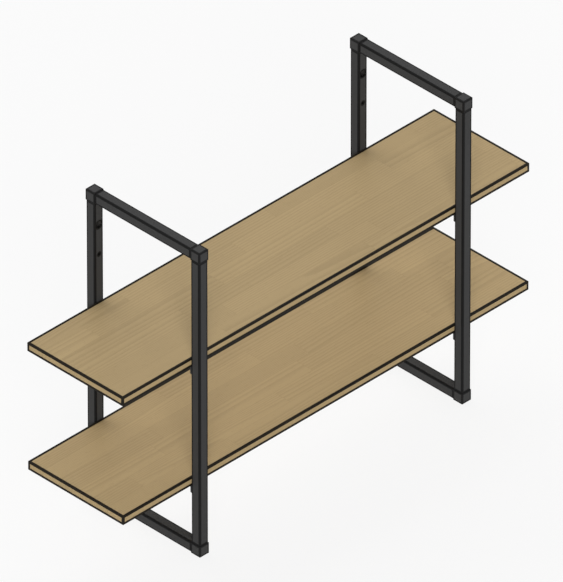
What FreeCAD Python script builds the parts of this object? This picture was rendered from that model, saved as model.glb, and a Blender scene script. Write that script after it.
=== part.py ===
"""Shelving unit: two side frames of square steel tube carry two long boards on angle brackets.

+X runs along the boards, -Y is the open front, +Y is the wall side and +Z is up.
The origin is on the floor below the middle of the unit. All sizes are in millimetres.
"""
import FreeCAD, Part
import math
import os

Vector = FreeCAD.Vector

# ---------------------------------------------------------------- driving dimensions

# Boards
BOARD_LENGTH = 1200.0
BOARD_DEPTH = 282.0
BOARD_THICKNESS = 22.0
BOARD_EDGE_CHAMFER = 1.0
LOWER_BOARD_HEIGHT = 171.0  # floor to the underside of the lower board
BOARD_PITCH = 303.0  # underside to underside

# Side frames
FRAME_SPREAD = 802.0  # over the outer faces of the two frames
FRAME_HEIGHT = 774.0  # over the corner cubes
BOARD_GAP = 0.5  # clearance between a board's long edge and an upright
TUBE_SIZE = 25.0
TUBE_WALL = 1.5
TUBE_INNER_CUT = 1.0  # how far the bore's corners are cut across

# Corner connectors: a moulded cube with two plugs pushed into the tubes
CUBE_PROUD = 1.0  # how far the cube stands out beyond the tube's faces
CUBE_EDGE_CHAMFER = 1.0
PLUG_LENGTH = 34.0
PLUG_CORE_GAP = 1.0  # between the plug's core and the tube's inner wall, bridged by the ribs
PLUG_CORE_CUT = 2.0  # how far the core's corners are cut across
PLUG_WALL = 3.0
PLUG_FLOOR = 4.0  # solid stretch between the cube and the plug's pocket
PLUG_WEB = 1.6  # crossed stiffening webs inside the pocket
PLUG_LEAD_LENGTH = 6.0
PLUG_LEAD_DEPTH = 1.6  # how far the tip draws in on each side
RIB_WIDTH = 1.6
RIB_SPACING = 9.0
RIB_COUNT = 2  # crush ribs on each side of a plug
RIB_LEAD_LENGTH = 3.0

# Angle brackets
BRACKET_LEG = 20.0
BRACKET_THICKNESS = 3.0
BRACKET_BEND_RADIUS = 1.0  # inside the bend
BRACKET_CORNER_CUT = 5.0
BRACKET_HOLE_SETBACK = 12.0  # from the outside of the bend to the hole's centre
SCREW_HOLE_GAP = 0.3  # radial clearance of a screw in a bracket's hole
PILOT_GAP = 0.05  # radial clearance of a screw in what it threads into

# Screws from bracket to upright, and from bracket up into the board
TUBE_SCREW_DIAMETER = 5.0
TUBE_SCREW_LENGTH = 12.0
TUBE_SCREW_HEAD_DIAMETER = 9.0
TUBE_SCREW_HEAD_HEIGHT = 2.8
BOARD_SCREW_DIAMETER = 4.0
BOARD_SCREW_LENGTH = 18.0
BOARD_SCREW_HEAD_DIAMETER = 8.0
BOARD_SCREW_HEAD_HEIGHT = 2.4
SCREW_POINT_LENGTH = 4.0
HEAD_RIM_HEIGHT = 1.0  # straight stretch of a head below its crown
HEAD_CROWN_INSET = 1.6  # how far the crown draws in all round
SCREW_SIDES = 8  # facets round a screw and its pilot hole, few because they repeat
PILOT_EXTRA_DEPTH = 1.0

# Wall fixing holes in the back uprights
WALL_HOLE_DROP = 85.0  # from the top of the frame to the upper hole
WALL_HOLE_PITCH = 75.0
WALL_HOLE_DIAMETER = 6.0
ACCESS_HOLE_DIAMETER = 16.0  # lets a screw's head and driver through the front wall

# ---------------------------------------------------------------- derived values

CUBE_SIZE = TUBE_SIZE + 2 * CUBE_PROUD
TUBE_BORE = TUBE_SIZE - 2 * TUBE_WALL
TUBE_OUTER_RADIUS = TUBE_WALL + TUBE_INNER_CUT
PLUG_CORE = TUBE_BORE - 2 * PLUG_CORE_GAP
FRAME_X = (FRAME_SPREAD - TUBE_SIZE) / 2
INNER_FACE_Y = BOARD_DEPTH / 2 + BOARD_GAP
UPRIGHT_Y = INNER_FACE_Y + TUBE_SIZE / 2
UPRIGHT_LENGTH = FRAME_HEIGHT - 2 * CUBE_SIZE
RAIL_LENGTH = 2 * UPRIGHT_Y - CUBE_SIZE
BRACKET_WIDTH = TUBE_SIZE
UPPER_WALL_HOLE_Z = FRAME_HEIGHT - WALL_HOLE_DROP
LOWER_WALL_HOLE_Z = UPPER_WALL_HOLE_Z - WALL_HOLE_PITCH

SIDES = {"left": -1, "right": 1}
ROWS = {"front": -1, "back": 1}
ENDS = {"bottom": -1, "top": 1}
BOARD_UNDERSIDES = {
    "lower": LOWER_BOARD_HEIGHT,
    "upper": LOWER_BOARD_HEIGHT + BOARD_PITCH,
}

X_AXIS = Vector(1, 0, 0)
Y_AXIS = Vector(0, 1, 0)
Z_AXIS = Vector(0, 0, 1)
ORIGIN = Vector(0, 0, 0)
TOLERANCE = 1e-6


# ---------------------------------------------------------------- shared shapes


def polygon(points):
    """A closed wire of straight edges through the points."""
    return Part.makePolygon(points + points[:1])


def cut_square(size, cut, z=0.0):
    """The corners of a square that is cut across at each one, round the Z axis at height z."""
    half = size / 2
    near = half - cut
    one_side = [Vector(half, -near, z), Vector(half, near, z)]
    turns = [FreeCAD.Rotation(Z_AXIS, 90 * quarter) for quarter in range(4)]
    return [turn.multVec(point) for turn in turns for point in one_side]


def round_ring(diameter, z):
    """SCREW_SIDES points on a circle round the Z axis at height z."""
    turns = [2 * math.pi * number / SCREW_SIDES for number in range(SCREW_SIDES)]
    radius = diameter / 2
    return [Vector(radius * math.cos(a), radius * math.sin(a), z) for a in turns]


def sides_of(ring):
    """Each side of a closed ring of points, as a pair of ends."""
    return list(zip(ring, ring[1:] + ring[:1]))


def flat_sided(rings, apex=None):
    """The solid through closed rings of points, with flat sides, and a flat end or an apex on top."""
    faces = [Part.Face(polygon(rings[0]))]
    for low, high in zip(rings, rings[1:]):
        for below, above in zip(sides_of(low), sides_of(high)):
            faces.append(Part.Face(polygon([*below, *reversed(above)])))
    if apex is None:
        faces.append(Part.Face(polygon(rings[-1])))
    else:
        faces += [Part.Face(polygon([*side, apex])) for side in sides_of(rings[-1])]
    return Part.makeSolid(Part.makeShell(faces))


def prism(points, length):
    """The solid over a closed ring of points in the XY plane, along +Z."""
    return Part.Face(polygon(points)).extrude(Vector(0, 0, length))


def cylinder(diameter, length, start, direction):
    """A cylinder from its start point along a direction."""
    return Part.makeCylinder(diameter / 2, length, start, direction)


def edges_along(shape, axis):
    """The straight edges of a shape that run parallel to an axis."""
    runs = [(edge, edge.Vertexes[-1].Point - edge.Vertexes[0].Point) for edge in shape.Edges]
    return [
        edge
        for edge, run in runs
        if abs(run.Length - edge.Length) < TOLERANCE and run.cross(axis).Length < TOLERANCE
    ]


# ---------------------------------------------------------------- tubes


def tube(length):
    """A square tube standing on the XY plane, centred on the Z axis."""
    outside = Part.makeBox(TUBE_SIZE, TUBE_SIZE, length, Vector(-TUBE_SIZE / 2, -TUBE_SIZE / 2, 0))
    outside = outside.makeFillet(TUBE_OUTER_RADIUS, edges_along(outside, Z_AXIS))
    return outside.cut(prism(cut_square(TUBE_BORE, TUBE_INNER_CUT), length))


def upright(side, row):
    """One upright between its corner cubes, with the pilot holes that its brackets need."""
    piece = tube(UPRIGHT_LENGTH)
    piece.translate(Vector(side * FRAME_X, row * UPRIGHT_Y, CUBE_SIZE))
    for underside in BOARD_UNDERSIDES.values():
        hole = pilot_hole(TUBE_SCREW_DIAMETER, TUBE_SCREW_LENGTH)
        piece = piece.cut(through_hanging_leg(hole, side, row, underside))
    return piece


def with_wall_holes(piece, side):
    """The back upright with its wall fixing holes: one stepped for the driver, one plain."""
    x = side * FRAME_X
    for z in (UPPER_WALL_HOLE_Z, LOWER_WALL_HOLE_Z):
        through = cylinder(WALL_HOLE_DIAMETER, TUBE_SIZE, Vector(x, INNER_FACE_Y, z), Y_AXIS)
        piece = piece.cut(through)
    access_start = Vector(x, INNER_FACE_Y, UPPER_WALL_HOLE_Z)
    return piece.cut(cylinder(ACCESS_HOLE_DIAMETER, TUBE_SIZE / 2, access_start, Y_AXIS))


def rail(side, end):
    """One rail from front cube to back cube, at the bottom or the top of a frame."""
    piece = tube(RAIL_LENGTH)
    piece.rotate(ORIGIN, X_AXIS, -90)
    piece.translate(Vector(side * FRAME_X, -RAIL_LENGTH / 2, corner_height(end)))
    return piece


# ---------------------------------------------------------------- corner connectors


def corner_height(end):
    """The height of the middle of a corner cube."""
    return FRAME_HEIGHT / 2 + end * (FRAME_HEIGHT - CUBE_SIZE) / 2


def crush_rib():
    """One rib along +Z on a plug's +X side. Its crest meets the tube's bore, its tip leads in."""
    root = PLUG_CORE / 2 - PLUG_CORE_GAP
    crest = TUBE_BORE / 2
    top = PLUG_LENGTH - PLUG_LEAD_LENGTH
    outline = polygon(
        [
            Vector(root, -RIB_WIDTH / 2, 0),
            Vector(crest, -RIB_WIDTH / 2, 0),
            Vector(crest, -RIB_WIDTH / 2, top - RIB_LEAD_LENGTH),
            Vector(PLUG_CORE / 2, -RIB_WIDTH / 2, top),
            Vector(root, -RIB_WIDTH / 2, top),
        ]
    )
    return Part.Face(outline).extrude(Vector(0, RIB_WIDTH, 0))


def plug():
    """A plug standing on the XY plane: a cored square with crush ribs and a drawn-in tip."""
    straight = PLUG_LENGTH - PLUG_LEAD_LENGTH
    root = cut_square(PLUG_CORE, PLUG_CORE_CUT)
    shoulder = cut_square(PLUG_CORE, PLUG_CORE_CUT, straight)
    tip = cut_square(PLUG_CORE - 2 * PLUG_LEAD_DEPTH, PLUG_CORE_CUT, PLUG_LENGTH)
    body = flat_sided([root, shoulder, tip])
    for number in range(RIB_COUNT):
        offset = (number - (RIB_COUNT - 1) / 2) * RIB_SPACING
        for quarter in range(4):
            rib = crush_rib()
            rib.translate(Vector(0, offset, 0))
            rib.rotate(ORIGIN, Z_AXIS, 90 * quarter)
            body = body.fuse(rib)
    inside = PLUG_CORE - 2 * PLUG_WALL
    corner = Vector(-inside / 2, -inside / 2, PLUG_FLOOR)
    pocket = Part.makeBox(inside, inside, PLUG_LENGTH, corner)
    for along_x, along_y in ((PLUG_CORE, PLUG_WEB), (PLUG_WEB, PLUG_CORE)):
        corner = Vector(-along_x / 2, -along_y / 2, 0)
        pocket = pocket.cut(Part.makeBox(along_x, along_y, straight, corner))
    return body.cut(pocket)


def corner_connector(side, row, end):
    """A corner cube with one plug into the upright and one into the rail."""
    half = CUBE_SIZE / 2
    cube = Part.makeBox(CUBE_SIZE, CUBE_SIZE, CUBE_SIZE, Vector(-half, -half, -half))
    cube = cube.makeChamfer(CUBE_EDGE_CHAMFER, cube.Edges)
    into_upright = plug()
    into_upright.translate(Vector(0, 0, half))
    if end > 0:
        into_upright.rotate(ORIGIN, X_AXIS, 180)
    into_rail = plug()
    into_rail.translate(Vector(0, 0, half))
    into_rail.rotate(ORIGIN, X_AXIS, 90 * row)
    piece = cube.fuse([into_upright, into_rail]).removeSplitter()
    piece.translate(Vector(side * FRAME_X, row * UPRIGHT_Y, corner_height(end)))
    return piece


# ---------------------------------------------------------------- boards and brackets


def board(underside):
    """A board with eased edges and a pilot hole above each bracket."""
    corner = Vector(-BOARD_LENGTH / 2, -BOARD_DEPTH / 2, underside)
    piece = Part.makeBox(BOARD_LENGTH, BOARD_DEPTH, BOARD_THICKNESS, corner)
    piece = piece.makeChamfer(BOARD_EDGE_CHAMFER, piece.Edges)
    for side in SIDES.values():
        for row in ROWS.values():
            hole = pilot_hole(BOARD_SCREW_DIAMETER, BOARD_SCREW_LENGTH)
            piece = piece.cut(through_level_leg(hole, side, row, underside))
    return piece


def bent_plate():
    """The L of a bracket, bend at the origin: one leg along +Y under z = 0, one down along -Z."""
    inner = BRACKET_BEND_RADIUS
    outer = inner + BRACKET_THICKNESS
    slope = math.sqrt(0.5)
    leg = BRACKET_LEG
    thick = BRACKET_THICKNESS
    points = {
        "foot_out": Vector(0, 0, -leg),
        "bend_out_start": Vector(0, 0, -outer),
        "bend_out_middle": Vector(0, outer * (1 - slope), -outer * (1 - slope)),
        "bend_out_end": Vector(0, outer, 0),
        "tip_top": Vector(0, leg, 0),
        "tip_under": Vector(0, leg, -thick),
        "bend_in_start": Vector(0, outer, -thick),
        "bend_in_middle": Vector(0, outer - inner * slope, -outer + inner * slope),
        "bend_in_end": Vector(0, thick, -outer),
        "foot_in": Vector(0, thick, -leg),
    }
    outline = Part.Wire(
        [
            Part.makeLine(points["foot_out"], points["bend_out_start"]),
            Part.Arc(
                points["bend_out_start"], points["bend_out_middle"], points["bend_out_end"]
            ).toShape(),
            Part.makeLine(points["bend_out_end"], points["tip_top"]),
            Part.makeLine(points["tip_top"], points["tip_under"]),
            Part.makeLine(points["tip_under"], points["bend_in_start"]),
            Part.Arc(
                points["bend_in_start"], points["bend_in_middle"], points["bend_in_end"]
            ).toShape(),
            Part.makeLine(points["bend_in_end"], points["foot_in"]),
            Part.makeLine(points["foot_in"], points["foot_out"]),
        ]
    )
    plate = Part.Face(outline).extrude(Vector(BRACKET_WIDTH, 0, 0))
    plate.translate(Vector(-BRACKET_WIDTH / 2, 0, 0))
    return plate


def bracket(side, row, underside):
    """An angle bracket: one leg flat on the upright's inner face, one under the board."""
    plate = bent_plate()
    foot = [edge for edge in edges_along(plate, Y_AXIS) if edge.BoundBox.ZMax < TOLERANCE - BRACKET_LEG]
    tip = [edge for edge in edges_along(plate, Z_AXIS) if edge.BoundBox.YMin > BRACKET_LEG - TOLERANCE]
    plate = plate.makeChamfer(BRACKET_CORNER_CUT, foot + tip)
    upright_hole = cylinder(
        TUBE_SCREW_DIAMETER + 2 * SCREW_HOLE_GAP,
        BRACKET_THICKNESS,
        Vector(0, 0, -BRACKET_HOLE_SETBACK),
        Y_AXIS,
    )
    board_hole = cylinder(
        BOARD_SCREW_DIAMETER + 2 * SCREW_HOLE_GAP,
        BRACKET_THICKNESS,
        Vector(0, BRACKET_HOLE_SETBACK, -BRACKET_THICKNESS),
        Z_AXIS,
    )
    plate = plate.cut(upright_hole).cut(board_hole)
    if row > 0:
        plate.rotate(ORIGIN, Z_AXIS, 180)
    plate.translate(Vector(side * FRAME_X, row * INNER_FACE_Y, underside))
    return plate


# ---------------------------------------------------------------- screws


def screw(diameter, length, head_diameter, head_height):
    """A screw along +Z, its head's seat on the XY plane and its crown drawn in."""
    head = flat_sided(
        [
            round_ring(head_diameter - 2 * HEAD_CROWN_INSET, -head_height),
            round_ring(head_diameter, -HEAD_RIM_HEIGHT),
            round_ring(head_diameter, 0),
        ]
    )
    shank = flat_sided(
        [round_ring(diameter, 0), round_ring(diameter, length - SCREW_POINT_LENGTH)],
        apex=Vector(0, 0, length),
    )
    return head.fuse(shank)


def pilot_hole(diameter, length):
    """What a screw along +Z takes out of the piece that it bites into."""
    return prism(round_ring(diameter + 2 * PILOT_GAP, 0), length + PILOT_EXTRA_DEPTH)


def through_hanging_leg(shape, side, row, underside):
    """Turns a shape along +Z towards the upright, seated on a bracket's hanging leg."""
    shape.rotate(ORIGIN, X_AXIS, -90 * row)
    seat_y = row * (INNER_FACE_Y - BRACKET_THICKNESS)
    shape.translate(Vector(side * FRAME_X, seat_y, underside - BRACKET_HOLE_SETBACK))
    return shape


def through_level_leg(shape, side, row, underside):
    """Moves a shape along +Z below the board, seated on a bracket's level leg."""
    hole_y = row * (INNER_FACE_Y - BRACKET_HOLE_SETBACK)
    shape.translate(Vector(side * FRAME_X, hole_y, underside - BRACKET_THICKNESS))
    return shape


def upright_screw(side, row, underside):
    """The screw that holds a bracket's hanging leg to the wall of the upright."""
    piece = screw(
        TUBE_SCREW_DIAMETER,
        TUBE_SCREW_LENGTH,
        TUBE_SCREW_HEAD_DIAMETER,
        TUBE_SCREW_HEAD_HEIGHT,
    )
    return through_hanging_leg(piece, side, row, underside)


def board_screw(side, row, underside):
    """The wood screw that comes up through a bracket's level leg into the board."""
    piece = screw(
        BOARD_SCREW_DIAMETER,
        BOARD_SCREW_LENGTH,
        BOARD_SCREW_HEAD_DIAMETER,
        BOARD_SCREW_HEAD_HEIGHT,
    )
    return through_level_leg(piece, side, row, underside)


def screw_set(make_screw, underside):
    """The same screw at all four brackets of one board, as separate solids."""
    return Part.makeCompound(
        [make_screw(side, row, underside) for side in SIDES.values() for row in ROWS.values()]
    )


# ---------------------------------------------------------------- the whole unit


def side_frame(side_name, side):
    """Every piece of one side frame, by name."""
    pieces = {}
    for row_name, row in ROWS.items():
        post = upright(side, row)
        pieces[f"{side_name}_{row_name}_upright"] = with_wall_holes(post, side) if row > 0 else post
    for end_name, end in ENDS.items():
        pieces[f"{side_name}_{end_name}_rail"] = rail(side, end)
        for row_name, row in ROWS.items():
            name = f"{side_name}_{row_name}_{end_name}_corner"
            pieces[name] = corner_connector(side, row, end)
    return pieces


def shelf(board_name, underside):
    """One board with its brackets and screws, by name."""
    pieces = {f"{board_name}_board": board(underside)}
    for side_name, side in SIDES.items():
        for row_name, row in ROWS.items():
            name = f"{board_name}_{side_name}_{row_name}_bracket"
            pieces[name] = bracket(side, row, underside)
    pieces[f"{board_name}_upright_screws"] = screw_set(upright_screw, underside)
    pieces[f"{board_name}_board_screws"] = screw_set(board_screw, underside)
    return pieces


def shelving_unit():
    """Every piece of the unit, by name."""
    pieces = {}
    for side_name, side in SIDES.items():
        pieces.update(side_frame(side_name, side))
    for board_name, underside in BOARD_UNDERSIDES.items():
        pieces.update(shelf(board_name, underside))
    return pieces


os.makedirs("parts", exist_ok=True)
for node_name, shape in shelving_unit().items():
    shape.exportStep(f"parts/{node_name}.step")
    print(f"{node_name}: {len(shape.Solids)} solid(s), valid {shape.isValid()}")
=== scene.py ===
"""Dresses the shelving unit: side frames of square steel tube, moulded corner connectors, two boards
on angle brackets, and the screws that hold them.

+X runs along the boards, -Y is the open front, +Y is the wall side and +Z is up. Sizes are in metres.
"""

from __future__ import annotations

import logging
import math
from dataclasses import dataclass, fields
from enum import Enum
from functools import cache
from types import SimpleNamespace
from typing import Mapping, Sequence, Union

import bmesh
import bpy
from bpy.types import ID, Material, Mesh, Node, NodeSocket, NodeTree, NodeTreeInterfaceSocket, Object
from mathutils import Matrix, Vector

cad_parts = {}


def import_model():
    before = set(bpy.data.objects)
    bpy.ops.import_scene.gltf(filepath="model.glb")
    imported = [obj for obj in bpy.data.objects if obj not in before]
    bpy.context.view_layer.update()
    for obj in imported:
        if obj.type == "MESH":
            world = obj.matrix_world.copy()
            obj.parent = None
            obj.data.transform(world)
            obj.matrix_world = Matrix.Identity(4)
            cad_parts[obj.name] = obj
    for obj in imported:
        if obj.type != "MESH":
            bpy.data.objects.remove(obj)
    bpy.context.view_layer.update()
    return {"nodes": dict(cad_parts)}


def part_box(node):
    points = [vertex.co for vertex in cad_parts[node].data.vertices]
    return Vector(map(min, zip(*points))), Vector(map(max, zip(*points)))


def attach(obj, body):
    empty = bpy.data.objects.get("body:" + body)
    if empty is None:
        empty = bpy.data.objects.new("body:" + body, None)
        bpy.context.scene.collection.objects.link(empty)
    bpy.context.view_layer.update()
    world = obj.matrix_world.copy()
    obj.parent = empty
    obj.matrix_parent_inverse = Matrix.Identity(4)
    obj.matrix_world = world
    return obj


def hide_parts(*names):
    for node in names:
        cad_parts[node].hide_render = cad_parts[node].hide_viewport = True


log = logging.getLogger("shelving_unit")

MM = 0.001
ROOT = "root"
LOCAL = "local"  # a point's place on its own piece, before the piece is put where it belongs
TURN = "turn"  # the turn that aims +Z along a seat's way
FLAT_LIMIT = math.radians(32)  # edges sharper than this stay sharp
RIM_LIMIT = math.radians(50)  # edges sharper than this get a rim
RIM_STEPS = 2  # faces across a rim
FLAT_WEIGHT = 100  # the larger faces alone decide how a piece is shaded
DRILL_SIDES = 40
ROUND_STEPS = 3  # faces across a rounded edge
WELD = 1e-6  # points closer than this are one

Colour = tuple[float, float, float, float]
Pair = tuple[float, float]
Triple = tuple[float, float, float]
Feed = Union[float, bool, str, Sequence[float], ID, NodeSocket, None]
Seat = tuple[Vector, Vector]  # where something sits, and the way that it aims


# ---- named choices


class Side(Enum):
    """The two side frames, with the sign of their X."""

    LEFT = -1
    RIGHT = 1


class Row(Enum):
    """The two uprights of a side frame, with the sign of their Y."""

    FRONT = -1
    BACK = 1


class End(Enum):
    """The two ends of an upright, with the sign of their way from its middle."""

    BOTTOM = -1
    TOP = 1


class Level(Enum):
    """The two boards, with the seed of each one's grain."""

    LOWER = 3.0
    UPPER = 11.0


class Slot(Enum):
    """The record's finishes that a piece can be repainted through."""

    TUBE = "tube_coating"
    CONNECTOR = "connector_plastic"
    BOARD = "board_wood"
    BRACKET = "bracket_coating"
    SCREW = "screw_zinc"


class Kind(Enum):
    """The kinds of node group, with the kind of socket that each one puts out."""

    SHADER = "Float"
    GEOMETRY = "Geometry"


def word(choice: Enum) -> str:
    """The choice's name as it stands in a piece's name."""
    return choice.name.lower()


# ---- node trees


def spaced(name: str) -> str:
    """The real name of a socket, which has _ for a space in this script."""
    return name.replace("_", " ")


def sizes(part: object) -> dict[str, float]:
    """The numbers that a part holds, by the names that they have as a node group's inputs."""
    names = [field.name for field in fields(part) if field.type in ("float", "int")]
    return {name.title(): getattr(part, name) for name in names}


class Tree:
    """Adds nodes to a shader or geometry tree and wires them as they are added."""

    def __init__(self, tree: NodeTree) -> None:
        """Wraps an existing tree."""
        self.tree = tree

    @classmethod
    def emptied(cls, owner: ID) -> Tree:
        """Gives a material or a world a tree of its own.

        Args:
            owner: The material or the world.

        Returns:
            Its tree, with nothing in it.
        """
        owner.use_nodes = True
        owner.node_tree.nodes.clear()
        return cls(owner.node_tree)

    def add(self, kind: str, *values: Feed, **named: Feed) -> Node:
        """Adds one node.

        Args:
            kind: Blender's name of the node's type.
            values: What goes into its inputs, in their order: a value, another output, or None to skip one.
            named: The same by the input's name, and the node's own settings, whose names have no capitals.

        Returns:
            The node.
        """
        node = self.tree.nodes.new(kind)
        for name, value in named.items():
            if name.islower():
                setattr(node, name, value)
        for socket, value in zip(node.inputs, values):
            self.feed(socket, value)
        for name, value in named.items():
            if not name.islower():
                self.feed(node.inputs[spaced(name)], value)
        return node

    def feed(self, socket: NodeSocket, value: Feed) -> None:
        """Feeds one input.

        Args:
            socket: The input.
            value: An output to link into it, its own value, or None to leave it as it is.
        """
        if isinstance(value, NodeSocket):
            self.tree.links.new(value, socket)
        elif value is not None:
            socket.default_value = value

    def out(self, kind: str, *values: Feed, **named: Feed) -> NodeSocket:
        """The first output of a new node."""
        return self.add(kind, *values, **named).outputs[0]

    def shape(self, kind: str, *values: Feed, **named: Feed) -> NodeSocket:
        """The first output of a new geometry node, whose type is named without its usual start."""
        return self.out(f"GeometryNode{kind}", *values, **named)

    def place(self, group: NodeTree, **named: Feed) -> Mapping[str, NodeSocket]:
        """The outputs of a shared group that is placed in this tree."""
        return self.add("ShaderNodeGroup", node_tree=group, **named).outputs

    def math(self, operation: str, *values: Feed) -> NodeSocket:
        """The result of a Math node on the values."""
        return self.out("ShaderNodeMath", *values, operation=operation)

    def vector(self, operation: str, *values: Feed) -> NodeSocket:
        """The vector result of a Vector Math node on the values."""
        return self.out("ShaderNodeVectorMath", *values, operation=operation)

    def scaled(self, vector: Feed, scale: Feed) -> NodeSocket:
        """A vector or colour times a number."""
        return self.out("ShaderNodeVectorMath", vector, Scale=scale, operation="SCALE")

    def parts(self, vector: Feed) -> tuple[NodeSocket, ...]:
        """The X, Y and Z of a vector."""
        return tuple(self.add("ShaderNodeSeparateXYZ", vector).outputs)

    def joined(self, x: Feed = 0.0, y: Feed = 0.0, z: Feed = 0.0) -> NodeSocket:
        """A vector from its X, Y and Z."""
        return self.out("ShaderNodeCombineXYZ", x, y, z)

    def ramp(self, value: Feed, low: Feed, high: Feed, start: Feed = 0.0, stop: Feed = 1.0) -> NodeSocket:
        """A value mapped smoothly from low..high to start..stop, and held beyond them."""
        return self.out("ShaderNodeMapRange", value, low, high, start, stop, interpolation_type="SMOOTHSTEP")

    def blend(self, share: Feed, first: Feed, second: Feed) -> NodeSocket:
        """Two colours mixed by a share."""
        others = (None,) * 5  # the node's inputs for numbers and vectors
        return self.add("ShaderNodeMix", share, *others, first, second, data_type="RGBA").outputs[2]

    def noise(self, place: Feed, scale: Feed = 1.0, detail: float = 2.0) -> NodeSocket:
        """The value of a noise texture, from 0 to 1."""
        return self.out("ShaderNodeTexNoise", place, Scale=scale, Detail=detail)

    def bump(self, height: Feed, depth: float) -> NodeSocket:
        """The normal of a surface raised by a height from 0 to 1 times a depth."""
        return self.out("ShaderNodeBump", Height=height, Distance=depth)

    def on_piece(self) -> NodeSocket:
        """A point's place on its own piece."""
        return self.add("ShaderNodeAttribute", attribute_name=LOCAL).outputs["Vector"]

    def as_one(self, *shapes: NodeSocket) -> NodeSocket:
        """Joins geometries.

        Args:
            shapes: The geometries, in the order that their faces get.

        Returns:
            All of them as one.
        """
        node = self.add("GeometryNodeJoinGeometry")
        for shape in reversed(shapes):
            self.feed(node.inputs[0], shape)
        return node.outputs[0]

    def welded(self, *shapes: NodeSocket) -> NodeSocket:
        """Several geometries as one, merged where they meet."""
        return self.shape("MergeByDistance", self.as_one(*shapes), Distance=WELD)

    def square(self, side: Feed, radius: Feed, steps: Feed) -> NodeSocket:
        """A square line whose corners are arcs of a number of steps."""
        line = self.shape("CurvePrimitiveQuadrilateral", Width=side, Height=side)
        return self.shape("FilletCurve", line, mode="POLY", Count=steps, Radius=radius)

    def cube(self, x: Feed, y: Feed, z: Feed, centre: Feed) -> NodeSocket:
        """A block inside a larger shape, or one that cuts it, by its sides and its centre."""
        block = self.shape("MeshCube", Size=self.joined(x, y, z))
        return self.shape("Transform", block, Translation=centre)

    def set_at(self, seats: Feed, shape: NodeSocket, material: Feed) -> NodeSocket:
        """Sets a shape at each seat, with its +Z along the seat's way.

        Args:
            seats: The seats, as points with their turns.
            shape: The shape.
            material: What the shape is made of.

        Returns:
            The shapes as one mesh.
        """
        aim = self.shape("InputNamedAttribute", data_type="FLOAT_VECTOR", Name=TURN)
        turn = self.out("FunctionNodeEulerToRotation", aim)
        ones = self.shape("InstanceOnPoints", seats, Instance=shape, Rotation=turn)
        return self.shape("SetMaterial", self.shape("RealizeInstances", ones), Material=material)


class Group(Tree):
    """A node group, with the sockets of its inputs in given, by their names in small letters."""

    def __init__(self, name: str, kind: Kind, **inputs: float | str) -> None:
        """Makes the group and its inputs.

        Args:
            name: The group's name.
            kind: Its kind.
            inputs: Each input's name, with the number that it starts at or the kind of its socket.
        """
        super().__init__(bpy.data.node_groups.new(name, f"{kind.name.title()}NodeTree"))
        self.kind = kind
        for key, start in inputs.items():
            sort = start if isinstance(start, str) else "Int" if isinstance(start, int) else "Float"
            socket = self._end(key, "INPUT", sort)
            if start is not sort:
                socket.default_value = start
        sockets = self.add("NodeGroupInput").outputs
        self.given = SimpleNamespace(**{key.lower(): socket for key, socket in zip(inputs, sockets)})

    def _end(self, name: str, in_out: str, sort: str) -> NodeTreeInterfaceSocket:
        """A new input or output of the group."""
        return self.tree.interface.new_socket(spaced(name), in_out=in_out, socket_type=f"NodeSocket{sort}")

    def give(self, **values: NodeSocket) -> NodeTree:
        """Finishes the group.

        Args:
            values: What each of its outputs gives, by the output's name.

        Returns:
            The group's tree.
        """
        for name in values:
            self._end(name, "OUTPUT", self.kind.value)
        self.add("NodeGroupOutput", *values.values())
        return self.tree


# ---- shader groups that several finishes share


@cache
def arris_line() -> NodeTree:
    """Makes the mask that is 1 along the edges of a square-sided piece and 0 on its flats.

    Returns:
        The group's tree.
    """
    tree = Group("arris_line", Kind.SHADER, Half_Size="Vector", Shift="Vector", Width="Float", Softness=0.3)
    given, calc = tree.given, tree.math
    place = tree.vector("ADD", tree.on_piece(), given.shift)
    x, y, z = tree.parts(tree.vector("SUBTRACT", tree.vector("ABSOLUTE", place), given.half_size))
    middle = calc("MAXIMUM", calc("MINIMUM", x, y), calc("MINIMUM", calc("MAXIMUM", x, y), z))
    reach = calc("MULTIPLY", given.width, -1.0)
    full = calc("MULTIPLY", reach, calc("SUBTRACT", 1.0, given.softness))
    return tree.give(Mask=tree.ramp(middle, reach, full))


@cache
def hole_rim() -> NodeTree:
    """Makes the mask that is 1 inside and round a drilled hole.

    Returns:
        The group's tree.
    """
    tree = Group("hole_rim", Kind.SHADER, Centre="Vector", Radius="Float", Width=4.2 * MM, Softness=0.3)
    given, calc = tree.given, tree.math
    away = tree.add("ShaderNodeVectorMath", tree.on_piece(), given.centre, operation="DISTANCE")
    beyond = calc("SUBTRACT", away.outputs["Value"], given.radius)
    full = calc("MULTIPLY", given.width, calc("SUBTRACT", 1.0, given.softness))
    return tree.give(Mask=tree.ramp(beyond, given.width, full))


@cache
def fine_mottle() -> NodeTree:
    """Makes cloudy variation with a fine skin on top, as on coated metal and moulded plastic.

    Returns:
        The group's tree.
    """
    tree = Group("fine_mottle", Kind.SHADER, Cloud_Scale=9.0, Skin_Scale="Float", Skin_Share=0.35)
    place, given = tree.add("ShaderNodeTexCoord").outputs["Object"], tree.given
    skin = tree.noise(place, given.skin_scale)
    clouds = tree.noise(place, given.cloud_scale, detail=3.0)
    tint = tree.out("ShaderNodeMix", given.skin_share, None, clouds, skin, data_type="FLOAT")
    return tree.give(Tint=tint, Height=skin)


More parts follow.
